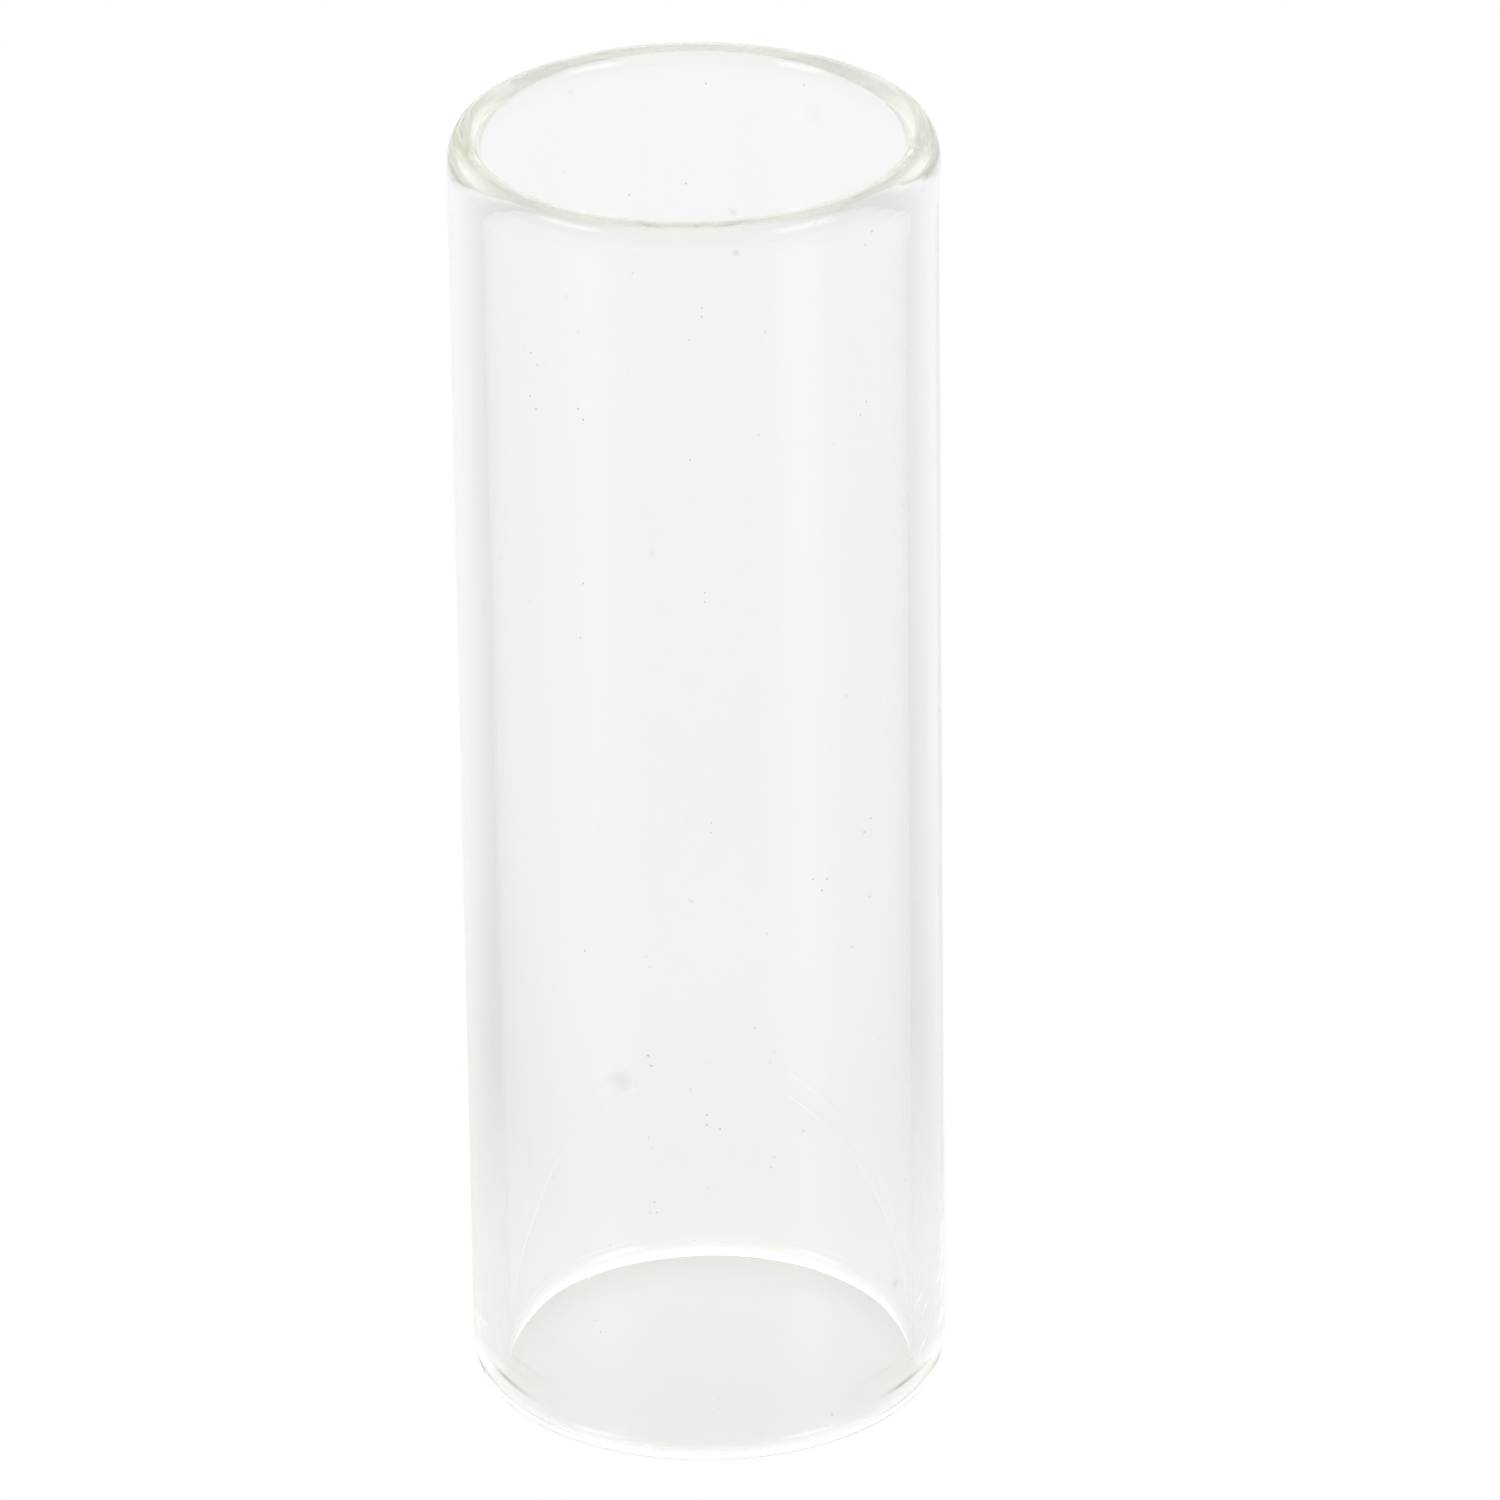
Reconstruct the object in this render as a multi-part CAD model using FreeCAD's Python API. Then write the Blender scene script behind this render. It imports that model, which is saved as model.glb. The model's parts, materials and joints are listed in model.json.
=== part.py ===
"""Glass guitar slide: one clear tube, open at both ends, with fire-polished rims.

Millimetres, +Z up.  The tube stands on its lower rim at z = 0 and its bore runs
along Z, so the origin is the centre of the bore at the lower rim.
"""
import FreeCAD
import Part
import math
import os

# Driving dimensions, mm
TUBE_LENGTH = 70.5
OUTER_DIAMETER = 25.0
WALL = 1.75
RIM_DEPTH = 0.8  # how far the flame rounding reaches into the wall from either side
TOP_RISE = 1.35  # height of that rounding at the upper rim
LOW_RISE = 2.0  # and at the lower rim, which was held in the flame for longer

# Derived dimensions
OUTER_RADIUS = OUTER_DIAMETER / 2
BORE_RADIUS = OUTER_RADIUS - WALL
RIM_LAND = WALL - 2 * RIM_DEPTH  # narrow flat ring left on top of each rim


def point(radius, height):
    """A point of the wall section, which lies in the XZ plane."""
    return FreeCAD.Vector(radius, 0, height)


def rounded_corner(wall_end, land_end):
    """Quarter of an upright ellipse between the end of a straight wall and the edge of the land."""
    centre = point(land_end.x, wall_end.z)
    ellipse = Part.Ellipse(land_end, wall_end, centre)
    return ellipse.toShape(0, math.pi / 2)


def wall_section():
    """Closed outline of the wall, followed from the bore over the top rim and down the barrel."""
    bore_side = BORE_RADIUS + RIM_DEPTH
    barrel_side = OUTER_RADIUS - RIM_DEPTH
    low = LOW_RISE
    high = TUBE_LENGTH - TOP_RISE

    bore_low = point(BORE_RADIUS, low)
    bore_high = point(BORE_RADIUS, high)
    top_inner = point(bore_side, TUBE_LENGTH)
    top_outer = point(barrel_side, TUBE_LENGTH)
    barrel_high = point(OUTER_RADIUS, high)
    barrel_low = point(OUTER_RADIUS, low)
    foot_outer = point(barrel_side, 0)
    foot_inner = point(bore_side, 0)

    edges = [
        Part.makeLine(bore_low, bore_high),
        rounded_corner(bore_high, top_inner),
        Part.makeLine(top_inner, top_outer),
        rounded_corner(barrel_high, top_outer),
        Part.makeLine(barrel_high, barrel_low),
        rounded_corner(barrel_low, foot_outer),
        Part.makeLine(foot_outer, foot_inner),
        rounded_corner(bore_low, foot_inner),
    ]
    return Part.Face(Part.Wire(edges))


def glass_tube():
    """The wall section turned once around the bore axis."""
    origin = FreeCAD.Vector(0, 0, 0)
    bore_axis = FreeCAD.Vector(0, 0, 1)
    return wall_section().revolve(origin, bore_axis, 360)


def check_dimensions():
    """The rims must keep a flat land, and a finger must fit the bore."""
    if RIM_LAND <= 0:
        raise ValueError("the rim rounding uses up the whole wall")
    if min(TOP_RISE, LOW_RISE) < RIM_DEPTH:
        raise ValueError("the rim rounding must be taller than it is deep")
    if 2 * BORE_RADIUS < 15:
        raise ValueError("the bore is too narrow for a finger")


def main():
    check_dimensions()
    os.makedirs("parts", exist_ok=True)
    nodes = {"glass_tube": glass_tube()}
    for name, shape in nodes.items():
        shape.exportStep(os.path.join("parts", name + ".step"))


main()
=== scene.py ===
import json
import math

import bmesh
import bpy
from mathutils import Matrix, Vector


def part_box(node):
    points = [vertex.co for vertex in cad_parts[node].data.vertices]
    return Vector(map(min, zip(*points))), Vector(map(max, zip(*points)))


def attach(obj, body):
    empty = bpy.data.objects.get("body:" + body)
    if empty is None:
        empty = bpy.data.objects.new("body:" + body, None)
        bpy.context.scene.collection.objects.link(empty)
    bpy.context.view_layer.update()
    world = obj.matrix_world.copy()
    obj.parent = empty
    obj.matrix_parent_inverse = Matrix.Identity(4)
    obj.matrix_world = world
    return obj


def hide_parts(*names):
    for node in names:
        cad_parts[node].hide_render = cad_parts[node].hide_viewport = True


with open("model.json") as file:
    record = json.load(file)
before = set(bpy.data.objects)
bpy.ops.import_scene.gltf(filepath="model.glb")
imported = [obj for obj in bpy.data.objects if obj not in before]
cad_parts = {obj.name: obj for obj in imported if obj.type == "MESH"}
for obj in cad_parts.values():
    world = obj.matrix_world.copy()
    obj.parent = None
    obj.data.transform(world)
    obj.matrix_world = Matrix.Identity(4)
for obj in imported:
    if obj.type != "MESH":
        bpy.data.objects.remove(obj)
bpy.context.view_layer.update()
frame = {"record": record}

# A clear glass guitar slide on a white ground. Lengths are in metres, unless a comment says mm.
# The photograph is taken from the front, which is -Y.
MM = 0.001
WHITE = (1.0, 1.0, 1.0)

# ---------------------------------------------------------------- sizes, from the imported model
LOW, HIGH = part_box("glass_tube")
CENTRE_X = (LOW[0] + HIGH[0]) / 2
CENTRE_Y = (LOW[1] + HIGH[1]) / 2
LENGTH = HIGH[2] - LOW[2]
MOUNTS = {mount["name"]: mount for mount in frame["record"]["mounts"]}
BORE_RADIUS = MOUNTS["finger_bore"]["dims"]["r_mm"] * MM
OUTER_RADIUS = MOUNTS["outer_barrel"]["dims"]["r_mm"] * MM
MID_RADIUS = (BORE_RADIUS + OUTER_RADIUS) / 2

# ---------------------------------------------------------------- glass shape
AROUND = 384            # steps round the tube
RIM_STEPS = 26          # steps over each rounded edge
WALL_STEPS = 60         # steps along the bore and along the barrel
RIM_DEPTH = 0.8 * MM    # how far the rounding reaches into the wall from either side
BLEND = 2.5             # 2 is an ellipse; more eases the rounding into the straight wall
TOP_IN = 1.5 * MM       # heights of the four roundings
TOP_OUT = 1.9 * MM
LOW_IN = 2.2 * MM
LOW_OUT = 2.1 * MM
SWELL = 0.06 * MM       # bead that the flame leaves below the upper rim
SWELL_AT = 1.6 * MM     # below the upper end
SWELL_TALL = 1.2 * MM
SWELL_TURN = 0.2        # where the bead is proudest, radians from +X
SWELL_UNEVEN = 0.8      # how much the bead varies round the tube
RIPPLE = 0.0022 * MM    # rings that the forming tool leaves near the ends
RIPPLE_STEP = 0.46 * MM
RIPPLE_FADE = 2.6 * MM
RIPPLE_SWAY = 0.7       # how far the rings shift twice round the tube, radians of one ring
END_WAVE = 0.035 * MM   # how far the upper end is from flat, either way
END_FADE = 2.5 * MM     # the wave of the upper end dies out over this length

# Low harmonics of the drawn tube: (lobes, size, phase)
BARREL_WAVES = (
    (2, 0.012 * MM, 0.6),
    (3, 0.008 * MM, 2.1),
    (7, 0.0025 * MM, 0.3),
)
BORE_WAVES = (
    (2, 0.020 * MM, 1.9),
    (5, 0.012 * MM, 0.4),
    (9, 0.005 * MM, 1.2),
    (14, 0.0025 * MM, 2.2),
)
WAVE_DRIFT = 0.5        # how far the harmonics turn from one end to the other, radians
# Harmonics of the upper end: (lobes, share, phase)
END_WAVES = ((2, 1.0, 0.9), (3, 0.5, 2.4))
END_SUM = sum(share for _, share, _ in END_WAVES)

# ---------------------------------------------------------------- glass finish
IOR = 1.474
ABSORB = (0.95, 0.93, 1.4)  # per metre: red, green, blue
ABSORB_SCALE = 20.0
# Colour of the dust and the marks, and of the painted shade streaks near the foot
DIRT_AND_SHADE_COLOUR = (0.30, 0.27, 0.24)

DUST_CELL = 3.0         # mm between places where a grain may lie
DUST_SHARE = 0.16       # share of those places that have one
GRAIN_SIZES = (0.010, 0.026)  # radius, as a share of DUST_CELL
GRAIN_CORE = 0.6        # share of the radius that is fully dark
GRAIN_DARK = (0.2, 0.8)

PATCH_SCALE = 90.0      # handled patches, per metre
PATCH_RANGE = (0.52, 0.68)
PATCH_ROUGH = 0.05

# Marks on the glass: (bearing from the front, height mm, radius mm, how dark, on the bore)
MARKS = (
    (-20.8, 22.4, 0.50, 0.24, False),
    (9.6, 69.1, 0.14, 0.45, False),
    (51.2, 8.2, 0.26, 0.30, False),
    (16.3, 64.6, 0.08, 0.35, False),
    (-30.8, 66.1, 0.08, 0.15, False),
    (-10.8, 52.6, 0.10, 0.22, False),
    (-3.2, 33.1, 0.10, 0.25, False),
    (-144.7, 69.0, 0.20, 0.20, True),
    (144.4, 67.6, 0.42, 0.10, True),
    (169.1, 61.4, 0.20, 0.35, True),
)
RAGGED_SCALE = 2500.0   # unevenness of the marks' edges, per metre
RAGGED_BASE = 0.5       # added to a noise of about 0.5, so that a mark keeps its size

# Painted shade: short dark lines round the barrel on the rounded foot, as
# (bearing from the front, half length in degrees, height mm, rise mm per degree)
SHADE_STREAKS = (
    (-58.5, 7.5, 2.13, -0.020),
    (55.0, 6.5, 2.00, 0.004),
)
SHADE_STREAK_WIDE = 0.12      # mm
SHADE_STREAK_DARK = 0.95
GROOVES = (
    (76.0, 5.0, 6.10, 0.053),
    (75.0, 5.5, 4.70, 0.090),
    (77.0, 3.5, 3.55, 0.117),
    (77.0, 4.0, 1.70, 0.077),
    (-73.0, 4.0, 4.14, -0.010),
    (-74.0, 4.0, 3.40, -0.010),
)
GROOVE_WIDE = 0.10      # mm
GROOVE_DEEP = 0.012     # mm

# Fine relief in the bump: draw lines along the tube, and rings round it near both ends
BUMP_DEEP = 0.002       # mm, the depth that a weight of 1 gives
DRAW_SCALE = (1100.0, 1100.0, 9.0)  # per metre, along each axis
DRAW_WEIGHT = 0.25
RING_SCALE = (30.0, 30.0, 2600.0)
FOOT_RINGS = (3.5, 3.0, 0.8)        # height mm, reach mm, weight
TOP_RINGS = (2.5, 0.5)              # reach mm below the upper end, weight

# ---------------------------------------------------------------- floor
FLOOR_HALF = 4.0
FLOOR_DROP = 0.02 * MM  # keeps the floor clear of the foot
GLOW = 0.6              # light that the floor sends up by itself
ALBEDO = 0.3            # and share of the sky's light that it returns
FLOOR_IOR = 1.5
FLOOR_ROUGH = 0.2
GLOSS_IN = 0.16         # the gloss fades out between these distances
GLOSS_OUT = 0.30

# Brightness by bearing, as the sine of it: -1 is in front, 0 beside, 1 behind
FIELD_FRONT = 0.68
FIELD_SIDE = 0.813
FIELD_BACK = 1.015
FRONT_UNTIL = -0.9      # where each of the three is reached
SIDE_AT = 0.5
BACK_FROM = 0.97
FIELD_SOFT = 0.004      # evens out the bearing at the very middle
NEAR_FRONT = 0.885      # brightness right round the foot, in front and behind
NEAR_BACK = 0.97
NEAR_IN = 0.015         # it goes over to the field between these distances
NEAR_OUT = 0.050
FIELD_FAR = 1.02        # brightness far away on every side
FAR_IN = 0.20
FAR_OUT = 0.50

# Tints from the foot outwards
NEAR_TINT = (0.996, 1.0, 0.962)
MIDDLE_TINT = (0.998, 1.0, 0.976)
FAR_TINT = (1.0, 0.995, 1.002)
TINT_IN = 0.055         # from middle to far between these distances
TINT_OUT = 0.115
BLUSH_TINT = (1.0, 0.955, 0.935)    # pink cast behind on the left
BLUSH_AT = (-0.036, 0.030)
BLUSH_WIDE = 0.022

# Arcs under the rim, left and right of the foot: (radius, width, how far ahead, length)
RIM_SHADOW = (0.0126, 0.0004, 0.0014, 0.0013)      # painted shadow under the rim, on the floor
RIM_SHADOW_DARK = 0.6
WARM = (0.0106, 0.0010, 0.0026, 0.0016)     # warm light inside it
WARM_TINT = (1.0, 0.94, 0.88)

# ---------------------------------------------------------------- sky
SKY_FRONT = 0.5         # brightness low in front, low behind and overhead
SKY_BACK = 1.56
SKY_TOP = 0.9
SKY_TURN = (-0.3, 0.7)  # from front to back, as the Y of the direction
SKY_RISE = (0.3, 0.9)   # from low to top, as the Z of the direction
HORIZON = 0.88          # haze like the far floor, so that no line shows through the glass
HAZE_LOW = 0.008        # it thins out between these two, as the Z of the direction
HAZE_HIGH = 0.035
BOX_LIGHT = 2.7
BOX_TURN = (-62.0, 53.0)  # the two softboxes, degrees from the front
BOX_HIGH = 23.0         # degrees above the horizon
BOX_WIDE = 16.0         # half width and half height, degrees
BOX_TALL = 10.0
BOX_EDGE = (0.4, 1.25)  # the light falls off between these shares of the half sizes
BOUNCES = 256
DIFFUSE_BOUNCES = 4

# ---------------------------------------------------------------- camera
CAM_BACK = 0.5749       # from the axis, towards the front
CAM_HIGH = 0.31375      # above the foot
CAM_PITCH = 25.822      # degrees, downwards
CAM_YAW = -0.252
CAM_ROLL = -0.705
FOCAL = 295.08          # mm
SENSOR = 36.0           # mm
NEAREST = 0.01          # what the camera sees lies between these distances
FURTHEST = 20.0


# ---------------------------------------------------------------- mesh
def swell(from_top):
    return SWELL * math.exp(-(((from_top - SWELL_AT) / SWELL_TALL) ** 2))


def rounded_edge(radius, inward, rise):
    """Flame-rounded edge from a straight wall to the land, as (radius, distance from the end)."""
    points = []
    for i in range(RIM_STEPS + 1):
        turn = math.pi / 2 * i / RIM_STEPS
        distance = rise * (1 - math.sin(turn) ** (2 / BLEND))
        points.append((radius + inward * RIM_DEPTH * (1 - math.cos(turn)), distance))
    return points


def straight_wall(radius, start, end):
    """Points between two heights, closer together near the ends."""
    points = []
    for i in range(1, WALL_STEPS):
        share = (1 - math.cos(math.pi * i / WALL_STEPS)) / 2
        points.append((radius, start + (end - start) * share))
    return points


def wall_outline():
    """Wall section as (radius, height, outer), up the bore and down the barrel."""
    top_in = [(r, LENGTH - d) for r, d in rounded_edge(BORE_RADIUS, 1, TOP_IN)]
    top_out = [(r, LENGTH - d) for r, d in rounded_edge(OUTER_RADIUS, -1, TOP_OUT)]
    low_out = rounded_edge(OUTER_RADIUS, -1, LOW_OUT)
    low_in = rounded_edge(BORE_RADIUS, 1, LOW_IN)
    bore = low_in[::-1] + straight_wall(BORE_RADIUS, LOW_IN, LENGTH - TOP_IN) + top_in
    barrel = top_out[::-1] + straight_wall(OUTER_RADIUS, LENGTH - TOP_OUT, LOW_OUT) + low_out
    return [(r, z, False) for r, z in bore] + [(r, z, True) for r, z in barrel]


def formed(radius, height, outer, turn):
    """The section point at one bearing, with the small errors of a drawn and flamed tube."""
    from_top = LENGTH - height
    from_end = min(height, from_top)
    drift = WAVE_DRIFT * height / LENGTH
    for lobes, size, phase in BARREL_WAVES if outer else BORE_WAVES:
        radius += size * math.cos(lobes * turn + phase + drift)
    ring = math.sin(2 * math.pi * from_end / RIPPLE_STEP + RIPPLE_SWAY * math.sin(2 * turn))
    radius += RIPPLE * ring * math.exp(-((from_end / RIPPLE_FADE) ** 2))
    if outer:
        radius += swell(from_top) * (1 + SWELL_UNEVEN * math.cos(turn - SWELL_TURN))
    wave = sum(share * math.cos(lobes * turn + phase) for lobes, share, phase in END_WAVES)
    height += END_WAVE / END_SUM * (wave - END_SUM) * math.exp(-from_top / END_FADE)
    return radius, height


def lathe(name):
    """The wall section taken once round the axis, as one closed mesh."""
    outline = wall_outline()
    bm = bmesh.new()
    rings = []
    for k in range(AROUND):
        turn = 2 * math.pi * k / AROUND
        ring = []
        for radius, height, outer in outline:
            r, z = formed(radius, height, outer, turn)
            x = CENTRE_X + r * math.cos(turn)
            y = CENTRE_Y + r * math.sin(turn)
            ring.append(bm.verts.new((x, y, LOW[2] + z)))
        rings.append(ring)
    for k in range(AROUND):
        here, there = rings[k], rings[(k + 1) % AROUND]
        for i in range(len(outline)):
            j = (i + 1) % len(outline)
            bm.faces.new((here[i], here[j], there[j], there[i]))
    bmesh.ops.recalc_face_normals(bm, faces=bm.faces)
    mesh = bpy.data.meshes.new(name)
    bm.to_mesh(mesh)
    bm.free()
    mesh.polygons.foreach_set("use_smooth", [True] * len(mesh.polygons))
    piece = bpy.data.objects.new(name, mesh)
    bpy.context.scene.collection.objects.link(piece)
    return piece


# ---------------------------------------------------------------- node shorthand
class Graph:
    """A node tree with one-line calls; each call returns the output socket of a new node."""

    def __init__(self, tree):
        self.tree = tree

    def node(self, kind, **settings):
        """The one call that returns the node itself."""
        made = self.tree.nodes.new("ShaderNode" + kind)
        for name, value in settings.items():
            setattr(made, name, value)
        return made

    def feed(self, socket, value):
        """Link a socket to another one, or set its value."""
        if isinstance(value, bpy.types.NodeSocket):
            self.tree.links.new(value, socket)
        else:
            socket.default_value = value

    def math(self, operation, *values):
        made = self.node("Math", operation=operation)
        for socket, value in zip(made.inputs, values):
            self.feed(socket, value)
        return made.outputs[0]

    def hypot(self, x, y):
        squares = self.math("MULTIPLY", x, x), self.math("MULTIPLY", y, y)
        return self.math("SQRT", self.math("ADD", *squares))

    def vector(self, operation, *values):
        made = self.node("VectorMath", operation=operation)
        names = {"SCALE": ("Vector", "Scale")}.get(operation)
        sockets = [made.inputs[n] for n in names] if names else made.inputs
        for socket, value in zip(sockets, values):
            self.feed(socket, value)
        scalar = operation in ("DOT_PRODUCT", "LENGTH", "DISTANCE")
        return made.outputs["Value" if scalar else "Vector"]

    def ramp(self, value, low, high, from_value, to_value):
        """from_value below low, to_value above high, and a smooth step between."""
        made = self.node("MapRange", interpolation_type="SMOOTHSTEP")
        names = ("Value", "From Min", "From Max", "To Min", "To Max")
        for name, given in zip(names, (value, low, high, from_value, to_value)):
            self.feed(made.inputs[name], given)
        return made.outputs[0]

    def bell(self, distance, width):
        """1 where distance is 0, falling to 0 over a few widths."""
        scaled = self.math("DIVIDE", distance, width)
        squared = self.math("MULTIPLY", scaled, scaled)
        return self.math("EXPONENT", self.math("MULTIPLY", squared, -1.0))

    def blend(self, factor, first, second):
        made = self.node("Mix", data_type="RGBA")
        self.feed(made.inputs["Factor"], factor)
        for name, colour in (("A", first), ("B", second)):
            socket = next(s for s in made.inputs if s.name == name and s.type == "RGBA")
            linked = isinstance(colour, bpy.types.NodeSocket)
            self.feed(socket, colour if linked else (*colour, 1.0))
        return next(s for s in made.outputs if s.type == "RGBA")

    def noise(self, vector, scale, detail):
        made = self.node("TexNoise")
        self.feed(made.inputs["Vector"], vector)
        made.inputs["Scale"].default_value = scale
        made.inputs["Detail"].default_value = detail
        return made.outputs[0]

    def parts(self, vector):
        made = self.node("SeparateXYZ")
        self.feed(made.inputs[0], vector)
        return made.outputs[0], made.outputs[1], made.outputs[2]

    def join(self, x, y, z):
        made = self.node("CombineXYZ")
        for socket, value in zip(made.inputs, (x, y, z)):
            self.feed(socket, value)
        return made.outputs[0]


def new_material(name):
    material = bpy.data.materials.new(name)
    material.use_nodes = True
    material.node_tree.nodes.clear()
    return material, Graph(material.node_tree)


# ---------------------------------------------------------------- glass
def point_on_tube(bearing, height, bore):
    """A point by its bearing from the front (degrees, + to the right) and its height in mm."""
    turn = math.radians(bearing)
    radius = BORE_RADIUS if bore else OUTER_RADIUS
    x = CENTRE_X + radius * math.sin(turn)
    y = CENTRE_Y - radius * math.cos(turn)
    return (x, y, LOW[2] + height * MM)


def tube_coordinates(g, place):
    """Distance from the axis in mm, bearing from the front in radians, and height in mm."""
    x, y, z = g.parts(place)
    radius = g.math("DIVIDE", g.hypot(x, y), MM)
    bearing = g.math("ARCTAN2", x, g.math("MULTIPLY", y, -1.0))
    level = g.math("DIVIDE", g.math("SUBTRACT", z, LOW[2]), MM)
    return radius, bearing, level


def dust(g, radius, bearing, level):
    """Sparse grains: small dark dots at random places on the unrolled surface."""
    cells = g.node("TexVoronoi", feature="F1", voronoi_dimensions="2D")
    g.feed(cells.inputs["Vector"], g.join(g.math("MULTIPLY", bearing, radius), level, 0.0))
    cells.inputs["Scale"].default_value = 1 / DUST_CELL
    pick, size, shade = g.parts(cells.outputs["Color"])
    reach = g.ramp(size, 0.0, 1.0, *GRAIN_SIZES)
    core = g.math("MULTIPLY", reach, GRAIN_CORE)
    dot = g.ramp(cells.outputs["Distance"], core, reach, 1.0, 0.0)
    there = g.math("LESS_THAN", pick, DUST_SHARE)
    return g.math("MULTIPLY", g.math("MULTIPLY", dot, there), g.ramp(shade, 0.0, 1.0, *GRAIN_DARK))


def lines_round(g, radius, bearing, level, rows, wide):
    """1 along each of the given lines on the outside of the tube, 0 elsewhere."""
    degrees = g.math("DEGREES", bearing)
    found = 0.0
    for middle, half, height, rise in rows:
        along = g.math("SUBTRACT", degrees, middle)
        line = g.math("ADD", g.math("MULTIPLY", along, rise), height)
        across = g.math("SUBTRACT", level, line)
        spot = g.math("MULTIPLY", g.bell(across, wide), g.bell(along, half))
        found = g.math("MAXIMUM", found, spot)
    return g.math("MULTIPLY", found, g.math("GREATER_THAN", radius, MID_RADIUS / MM))


def dirt_and_shade(g, place, where):
    """How much light the dust and the marks take away, with the painted shade of the streaks, 0 to
    1.
    """
    found = dust(g, *where)
    ragged = g.math("ADD", g.noise(place, RAGGED_SCALE, 2.0), RAGGED_BASE)
    for bearing, height, radius, dark, bore in MARKS:
        distance = g.vector("DISTANCE", place, point_on_tube(bearing, height, bore))
        spot = g.bell(g.math("MULTIPLY", distance, ragged), radius * MM)
        found = g.math("MAXIMUM", found, g.math("MULTIPLY", spot, dark))
    # The streaks are painted shade near the foot, not dirt on the glass
    painted_shade = lines_round(g, *where, SHADE_STREAKS, SHADE_STREAK_WIDE)
    return g.math("MAXIMUM", found, g.math("MULTIPLY", painted_shade, SHADE_STREAK_DARK))


def surface_relief(g, place, where):
    """Height of the draw lines, the rings near both ends and the grooves, in BUMP_DEEP."""
    level = where[2]
    lines = g.noise(g.vector("MULTIPLY", place, DRAW_SCALE), 1.0, 3.0)
    rings = g.noise(g.vector("MULTIPLY", place, RING_SCALE), 1.0, 2.0)
    foot_height, foot_reach, foot_weight = FOOT_RINGS
    top_reach, top_weight = TOP_RINGS
    foot = g.bell(g.math("SUBTRACT", level, foot_height), foot_reach)
    top = g.bell(g.math("SUBTRACT", LENGTH / MM, level), top_reach)
    ends = g.math("ADD", g.math("MULTIPLY", foot, foot_weight), g.math("MULTIPLY", top, top_weight))
    relief = g.math("ADD", g.math("MULTIPLY", lines, DRAW_WEIGHT), g.math("MULTIPLY", rings, ends))
    grooves = lines_round(g, *where, GROOVES, GROOVE_WIDE)
    return g.math("SUBTRACT", relief, g.math("MULTIPLY", grooves, GROOVE_DEEP / BUMP_DEEP))


def glass_material():
    material, g = new_material("clear_glass")
    place = g.node("TexCoord").outputs["Object"]
    where = tube_coordinates(g, place)
    shader = g.node("BsdfPrincipled")
    shader.inputs["IOR"].default_value = IOR
    shader.inputs["Transmission Weight"].default_value = 1.0
    # Base colour: dust and marks, plus the painted shade streaks near the foot
    g.feed(shader.inputs["Base Color"], g.blend(dirt_and_shade(g, place, where), WHITE, DIRT_AND_SHADE_COLOUR))
    patches = g.noise(place, PATCH_SCALE, 3.0)
    g.feed(shader.inputs["Roughness"], g.ramp(patches, *PATCH_RANGE, 0.0, PATCH_ROUGH))
    bump = g.node("Bump")
    bump.inputs["Strength"].default_value = 1.0
    bump.inputs["Distance"].default_value = BUMP_DEEP * MM
    g.feed(bump.inputs["Height"], surface_relief(g, place, where))
    g.feed(shader.inputs["Normal"], bump.outputs[0])

    # The glass takes (1 - colour) * density per metre from each colour of light
    tint = g.node("VolumeAbsorption")
    tint.inputs["Color"].default_value = (*(1 - a / ABSORB_SCALE for a in ABSORB), 1.0)
    tint.inputs["Density"].default_value = ABSORB_SCALE
    out = g.node("OutputMaterial")
    g.feed(out.inputs["Surface"], shader.outputs[0])
    g.feed(out.inputs["Volume"], tint.outputs[0])
    return material


# ---------------------------------------------------------------- floor
def floor_light(g):
    """Colour of the light that the floor sends up, by place.

    It is brightest behind the tube and dimmer in front, even close by, with painted
    shadow in two small arcs under the rim beside the foot, left and right.
    """
    x, y, _ = g.parts(g.node("NewGeometry").outputs["Position"])
    away = g.hypot(x, y)
    bearing = g.math("DIVIDE", y, g.math("ADD", away, FIELD_SOFT))
    side = g.ramp(bearing, FRONT_UNTIL, SIDE_AT, FIELD_FRONT, FIELD_SIDE)
    field = g.ramp(bearing, SIDE_AT, BACK_FROM, side, FIELD_BACK)
    near = g.ramp(y, -NEAR_IN, NEAR_IN, NEAR_FRONT, NEAR_BACK)
    level = g.ramp(away, NEAR_IN, NEAR_OUT, near, field)
    level = g.ramp(away, FAR_IN, FAR_OUT, level, FIELD_FAR)
    tint = g.blend(g.ramp(away, NEAR_IN, NEAR_OUT, 0.0, 1.0), NEAR_TINT, MIDDLE_TINT)
    tint = g.blend(g.ramp(away, TINT_IN, TINT_OUT, 0.0, 1.0), tint, FAR_TINT)

    def arc(radius, wide, ahead, long):
        across = g.bell(g.math("SUBTRACT", away, radius), wide)
        return g.math("MULTIPLY", across, g.bell(g.math("ADD", y, ahead), long))

    # Painted shadow in two arcs under the rim, left and right of the foot
    shade = g.math("SUBTRACT", 1.0, g.math("MULTIPLY", arc(*RIM_SHADOW), RIM_SHADOW_DARK))
    tint = g.blend(arc(*WARM), tint, WARM_TINT)
    from_blush = g.vector("DISTANCE", g.join(x, y, 0.0), (*BLUSH_AT, 0.0))
    tint = g.blend(g.bell(from_blush, BLUSH_WIDE), tint, BLUSH_TINT)
    return g.vector("SCALE", tint, g.math("MULTIPLY", level, shade))


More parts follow.
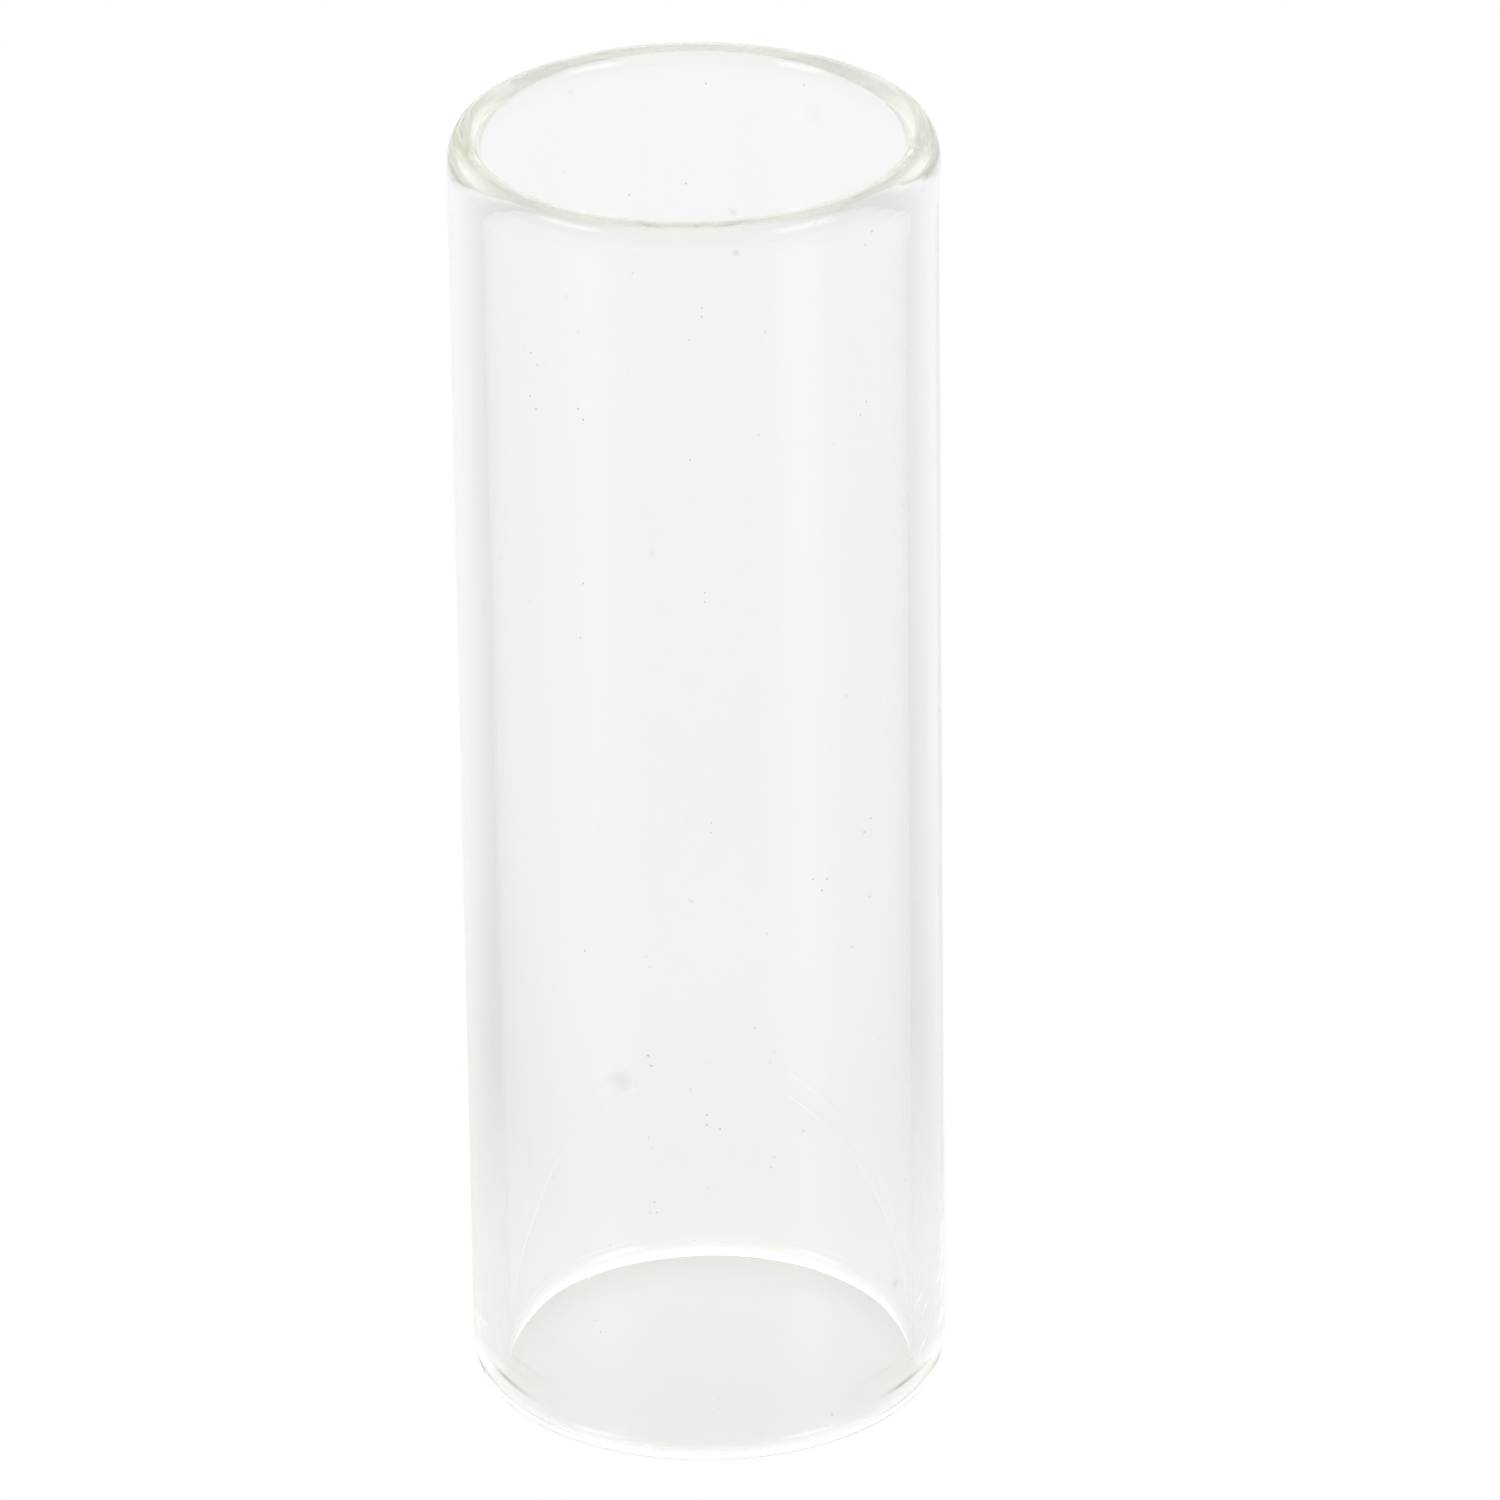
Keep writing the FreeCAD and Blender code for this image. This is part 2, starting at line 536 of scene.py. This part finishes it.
def floor_material():
    """A lit floor for the glass to see, and plain white where it is seen directly."""
    material, g = new_material("floor")
    light = floor_light(g)
    glow = g.node("Emission")
    g.feed(glow.inputs["Color"], light)
    glow.inputs["Strength"].default_value = GLOW
    matt = g.node("BsdfDiffuse")
    g.feed(matt.inputs["Color"], g.vector("SCALE", light, ALBEDO))
    body = g.node("AddShader")
    g.feed(body.inputs[0], glow.outputs[0])
    g.feed(body.inputs[1], matt.outputs[0])

    gloss = g.node("BsdfGlossy")
    gloss.inputs["Roughness"].default_value = FLOOR_ROUGH
    fresnel = g.node("Fresnel")
    fresnel.inputs["IOR"].default_value = FLOOR_IOR
    away = g.vector("LENGTH", g.node("NewGeometry").outputs["Position"])
    nearby = g.ramp(away, GLOSS_IN, GLOSS_OUT, 1.0, 0.0)
    coated = g.node("MixShader")
    g.feed(coated.inputs[0], g.math("MULTIPLY", fresnel.outputs[0], nearby))
    g.feed(coated.inputs[1], body.outputs[0])
    g.feed(coated.inputs[2], gloss.outputs[0])

    plain = g.node("Emission")
    plain.inputs["Color"].default_value = (*WHITE, 1.0)
    plain.inputs["Strength"].default_value = 1.0
    shown = g.node("MixShader")
    g.feed(shown.inputs[0], g.node("LightPath").outputs["Is Camera Ray"])
    g.feed(shown.inputs[1], coated.outputs[0])
    g.feed(shown.inputs[2], plain.outputs[0])
    g.feed(g.node("OutputMaterial").inputs["Surface"], shown.outputs[0])
    return material


def floor():
    z = LOW[2] - FLOOR_DROP
    corners = [(x * FLOOR_HALF, y * FLOOR_HALF, z) for x, y in ((-1, -1), (1, -1), (1, 1), (-1, 1))]
    mesh = bpy.data.meshes.new("floor")
    mesh.from_pydata(corners, [], [(0, 1, 2, 3)])
    mesh.materials.append(floor_material())
    ground = bpy.data.objects.new("floor", mesh)
    bpy.context.scene.collection.objects.link(ground)


# ---------------------------------------------------------------- light
def softbox(g, heading, turn):
    """1 inside a soft-edged window of light at one bearing, 0 elsewhere."""
    turn = math.radians(turn)
    up = math.radians(BOX_HIGH)
    aim = Vector((math.sin(turn) * math.cos(up), -math.cos(turn) * math.cos(up), math.sin(up)))
    across = Vector((math.cos(turn), math.sin(turn), 0))
    ahead = g.vector("DOT_PRODUCT", heading, aim)
    inside = g.math("GREATER_THAN", ahead, 0.0)
    for axis, half in ((across, BOX_WIDE), (aim.cross(across), BOX_TALL)):
        off = g.math("DIVIDE", g.math("ABSOLUTE", g.vector("DOT_PRODUCT", heading, axis)), ahead)
        full, none = (math.tan(math.radians(half)) * share for share in BOX_EDGE)
        inside = g.math("MULTIPLY", inside, g.ramp(off, full, none, 1.0, 0.0))
    return inside


def studio():
    """Bright low behind, dimmer in front, a softbox on each side, plain white seen directly."""
    world = bpy.data.worlds.new("studio")
    bpy.context.scene.world = world
    world.use_nodes = True
    world.node_tree.nodes.clear()
    g = Graph(world.node_tree)
    heading = g.node("TexCoord").outputs["Generated"]
    _, back, up = g.parts(heading)
    low = g.ramp(back, *SKY_TURN, SKY_FRONT, SKY_BACK)
    level = g.ramp(up, *SKY_RISE, low, SKY_TOP)
    level = g.ramp(up, HAZE_LOW, HAZE_HIGH, HORIZON, level)
    for turn in BOX_TURN:
        level = g.math("ADD", level, g.math("MULTIPLY", softbox(g, heading, turn), BOX_LIGHT))
    level = g.ramp(g.node("LightPath").outputs["Is Camera Ray"], 0.0, 1.0, level, 1.0)
    background = g.node("Background")
    background.inputs["Color"].default_value = (*WHITE, 1.0)
    g.feed(background.inputs["Strength"], level)
    g.feed(g.node("OutputWorld").inputs["Surface"], background.outputs[0])


def light_and_colour():
    """Plain colours, and long paths: light runs down inside the wall by total reflection."""
    scene = bpy.context.scene
    scene.view_settings.view_transform = "Standard"
    scene.view_settings.look = "None"
    scene.cycles.max_bounces = BOUNCES
    scene.cycles.transmission_bounces = BOUNCES
    scene.cycles.glossy_bounces = BOUNCES
    scene.cycles.diffuse_bounces = DIFFUSE_BOUNCES
    scene.cycles.blur_glossy = 0.0
    scene.cycles.caustics_reflective = True
    scene.cycles.caustics_refractive = True


def camera():
    lens = bpy.data.cameras.new("camera")
    lens.lens = FOCAL
    lens.sensor_width = SENSOR
    lens.clip_start = NEAREST
    lens.clip_end = FURTHEST
    cam = bpy.data.objects.new("camera", lens)
    bpy.context.scene.collection.objects.link(cam)
    cam.location = (CENTRE_X, CENTRE_Y - CAM_BACK, LOW[2] + CAM_HIGH)
    aim = (
        Matrix.Rotation(math.radians(CAM_YAW), 4, "Z")
        @ Matrix.Rotation(math.radians(90 - CAM_PITCH), 4, "X")
        @ Matrix.Rotation(math.radians(CAM_ROLL), 4, "Z")
    )
    cam.rotation_euler = aim.to_euler()
    bpy.context.scene.camera = cam


# ---------------------------------------------------------------- the scene
tube = lathe("slide_glass")
tube.data.materials.append(glass_material())
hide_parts("glass_tube")
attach(tube, "root")
floor()
studio()
light_and_colour()
camera()
